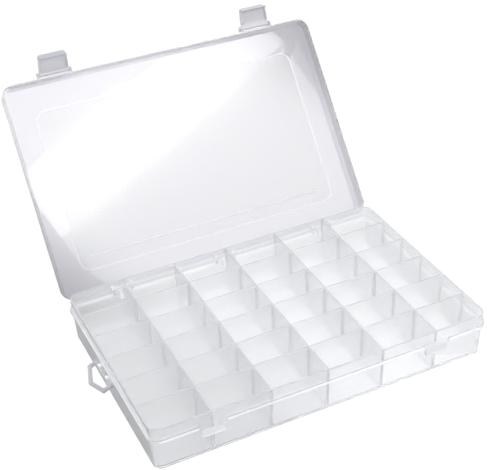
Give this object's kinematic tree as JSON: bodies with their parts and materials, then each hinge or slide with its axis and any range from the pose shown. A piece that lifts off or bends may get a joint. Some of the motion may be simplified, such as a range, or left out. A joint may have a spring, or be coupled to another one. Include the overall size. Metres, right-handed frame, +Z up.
{
  "type": "compartment storage box",
  "caption": "Shallow clear plastic organiser box with a grid of compartments, lift-out dividers, a hinged lid with snap latches and a hanging loop on its side.",
  "frame": {"origin": "middle of the tray's underside", "axes": "+X to the right seen from the latch side, +Y toward the hinge, +Z up"},
  "size_m": [0.2862, 0.2993, 0.1844],
  "materials": {
    "tray_plastic": "satin, frosted clear polypropylene",
    "lid_plastic": "satin, frosted clear polypropylene",
    "latch_plastic": "satin, frosted clear polypropylene",
    "loop_plastic": "satin, frosted clear polypropylene",
    "divider_plastic": "satin, frosted clear polypropylene"
  },
  "bodies": {
    "tray": {"tray": "tray_plastic"},
    "lid": {"lid": "lid_plastic"},
    "latch_left": {"latch_left": "latch_plastic"},
    "latch_right": {"latch_right": "latch_plastic"},
    "hang_loop": {"hang_loop": "loop_plastic"},
    "divider_c1_r1": {"divider_c1_r1": "divider_plastic"},
    "divider_c1_r2": {"divider_c1_r2": "divider_plastic"},
    "divider_c1_r3": {"divider_c1_r3": "divider_plastic"},
    "divider_c1_r4": {"divider_c1_r4": "divider_plastic"},
    "divider_c1_r5": {"divider_c1_r5": "divider_plastic"},
    "divider_c2_r1": {"divider_c2_r1": "divider_plastic"},
    "divider_c2_r2": {"divider_c2_r2": "divider_plastic"},
    "divider_c2_r3": {"divider_c2_r3": "divider_plastic"},
    "divider_c2_r4": {"divider_c2_r4": "divider_plastic"},
    "divider_c2_r5": {"divider_c2_r5": "divider_plastic"},
    "divider_c3_r1": {"divider_c3_r1": "divider_plastic"},
    "divider_c3_r2": {"divider_c3_r2": "divider_plastic"},
    "divider_c3_r3": {"divider_c3_r3": "divider_plastic"},
    "divider_c3_r4": {"divider_c3_r4": "divider_plastic"},
    "divider_c3_r5": {"divider_c3_r5": "divider_plastic"},
    "divider_c4_r1": {"divider_c4_r1": "divider_plastic"},
    "divider_c4_r2": {"divider_c4_r2": "divider_plastic"},
    "divider_c4_r3": {"divider_c4_r3": "divider_plastic"},
    "divider_c4_r4": {"divider_c4_r4": "divider_plastic"},
    "divider_c4_r5": {"divider_c4_r5": "divider_plastic"},
    "divider_c5_r1": {"divider_c5_r1": "divider_plastic"},
    "divider_c5_r2": {"divider_c5_r2": "divider_plastic"},
    "divider_c5_r3": {"divider_c5_r3": "divider_plastic"},
    "divider_c5_r4": {"divider_c5_r4": "divider_plastic"},
    "divider_c5_r5": {"divider_c5_r5": "divider_plastic"},
    "divider_c6_r1": {"divider_c6_r1": "divider_plastic"},
    "divider_c6_r2": {"divider_c6_r2": "divider_plastic"},
    "divider_c6_r3": {"divider_c6_r3": "divider_plastic"},
    "divider_c6_r4": {"divider_c6_r4": "divider_plastic"},
    "divider_c6_r5": {"divider_c6_r5": "divider_plastic"}
  },
  "joints": [
    {"name": "lid_hinge", "type": "hinge", "parent": "tray", "child": "lid", "pos_m": [0, 0.089, 0.0288], "axis": [-1, 0, 0], "range_deg": [-128.5, 0]},
    {"name": "latch_left_hinge", "type": "hinge", "parent": "lid", "child": "latch_left", "pos_m": [-0.09, 0.20442, 0.16763], "axis": [-1, 0, 0], "range_deg": [-51.5, 58.5]},
    {"name": "latch_right_hinge", "type": "hinge", "parent": "lid", "child": "latch_right", "pos_m": [0.09, 0.20442, 0.16763], "axis": [-1, 0, 0], "range_deg": [-69.1, 40.9]},
    {"name": "hang_loop_hinge", "type": "hinge", "parent": "tray", "child": "hang_loop", "pos_m": [-0.13795, 0, 0.0246], "axis": [0, 1, 0], "range_deg": [-65, 45]},
    {"name": "divider_c1_r1_lift", "type": "slide", "parent": "tray", "child": "divider_c1_r1", "axis": [0, 0, 1], "range_m": [0, 0.03]},
    {"name": "divider_c1_r2_lift", "type": "slide", "parent": "tray", "child": "divider_c1_r2", "axis": [0, 0, 1], "range_m": [0, 0.03]},
    {"name": "divider_c1_r3_lift", "type": "slide", "parent": "tray", "child": "divider_c1_r3", "axis": [0, 0, 1], "range_m": [0, 0.03]},
    {"name": "divider_c1_r4_lift", "type": "slide", "parent": "tray", "child": "divider_c1_r4", "axis": [0, 0, 1], "range_m": [0, 0.03]},
    {"name": "divider_c1_r5_lift", "type": "slide", "parent": "tray", "child": "divider_c1_r5", "axis": [0, 0, 1], "range_m": [0, 0.03]},
    {"name": "divider_c2_r1_lift", "type": "slide", "parent": "tray", "child": "divider_c2_r1", "axis": [0, 0, 1], "range_m": [0, 0.03]},
    {"name": "divider_c2_r2_lift", "type": "slide", "parent": "tray", "child": "divider_c2_r2", "axis": [0, 0, 1], "range_m": [0, 0.03]},
    {"name": "divider_c2_r3_lift", "type": "slide", "parent": "tray", "child": "divider_c2_r3", "axis": [0, 0, 1], "range_m": [0, 0.03]},
    {"name": "divider_c2_r4_lift", "type": "slide", "parent": "tray", "child": "divider_c2_r4", "axis": [0, 0, 1], "range_m": [0, 0.03]},
    {"name": "divider_c2_r5_lift", "type": "slide", "parent": "tray", "child": "divider_c2_r5", "axis": [0, 0, 1], "range_m": [0, 0.03]},
    {"name": "divider_c3_r1_lift", "type": "slide", "parent": "tray", "child": "divider_c3_r1", "axis": [0, 0, 1], "range_m": [0, 0.03]},
    {"name": "divider_c3_r2_lift", "type": "slide", "parent": "tray", "child": "divider_c3_r2", "axis": [0, 0, 1], "range_m": [0, 0.03]},
    {"name": "divider_c3_r3_lift", "type": "slide", "parent": "tray", "child": "divider_c3_r3", "axis": [0, 0, 1], "range_m": [0, 0.03]},
    {"name": "divider_c3_r4_lift", "type": "slide", "parent": "tray", "child": "divider_c3_r4", "axis": [0, 0, 1], "range_m": [0, 0.03]},
    {"name": "divider_c3_r5_lift", "type": "slide", "parent": "tray", "child": "divider_c3_r5", "axis": [0, 0, 1], "range_m": [0, 0.03]},
    {"name": "divider_c4_r1_lift", "type": "slide", "parent": "tray", "child": "divider_c4_r1", "axis": [0, 0, 1], "range_m": [0, 0.03]},
    {"name": "divider_c4_r2_lift", "type": "slide", "parent": "tray", "child": "divider_c4_r2", "axis": [0, 0, 1], "range_m": [0, 0.03]},
    {"name": "divider_c4_r3_lift", "type": "slide", "parent": "tray", "child": "divider_c4_r3", "axis": [0, 0, 1], "range_m": [0, 0.03]},
    {"name": "divider_c4_r4_lift", "type": "slide", "parent": "tray", "child": "divider_c4_r4", "axis": [0, 0, 1], "range_m": [0, 0.03]},
    {"name": "divider_c4_r5_lift", "type": "slide", "parent": "tray", "child": "divider_c4_r5", "axis": [0, 0, 1], "range_m": [0, 0.03]},
    {"name": "divider_c5_r1_lift", "type": "slide", "parent": "tray", "child": "divider_c5_r1", "axis": [0, 0, 1], "range_m": [0, 0.03]},
    {"name": "divider_c5_r2_lift", "type": "slide", "parent": "tray", "child": "divider_c5_r2", "axis": [0, 0, 1], "range_m": [0, 0.03]},
    {"name": "divider_c5_r3_lift", "type": "slide", "parent": "tray", "child": "divider_c5_r3", "axis": [0, 0, 1], "range_m": [0, 0.03]},
    {"name": "divider_c5_r4_lift", "type": "slide", "parent": "tray", "child": "divider_c5_r4", "axis": [0, 0, 1], "range_m": [0, 0.03]},
    {"name": "divider_c5_r5_lift", "type": "slide", "parent": "tray", "child": "divider_c5_r5", "axis": [0, 0, 1], "range_m": [0, 0.03]},
    {"name": "divider_c6_r1_lift", "type": "slide", "parent": "tray", "child": "divider_c6_r1", "axis": [0, 0, 1], "range_m": [0, 0.03]},
    {"name": "divider_c6_r2_lift", "type": "slide", "parent": "tray", "child": "divider_c6_r2", "axis": [0, 0, 1], "range_m": [0, 0.03]},
    {"name": "divider_c6_r3_lift", "type": "slide", "parent": "tray", "child": "divider_c6_r3", "axis": [0, 0, 1], "range_m": [0, 0.03]},
    {"name": "divider_c6_r4_lift", "type": "slide", "parent": "tray", "child": "divider_c6_r4", "axis": [0, 0, 1], "range_m": [0, 0.03]},
    {"name": "divider_c6_r5_lift", "type": "slide", "parent": "tray", "child": "divider_c6_r5", "axis": [0, 0, 1], "range_m": [0, 0.03]}
  ]
}
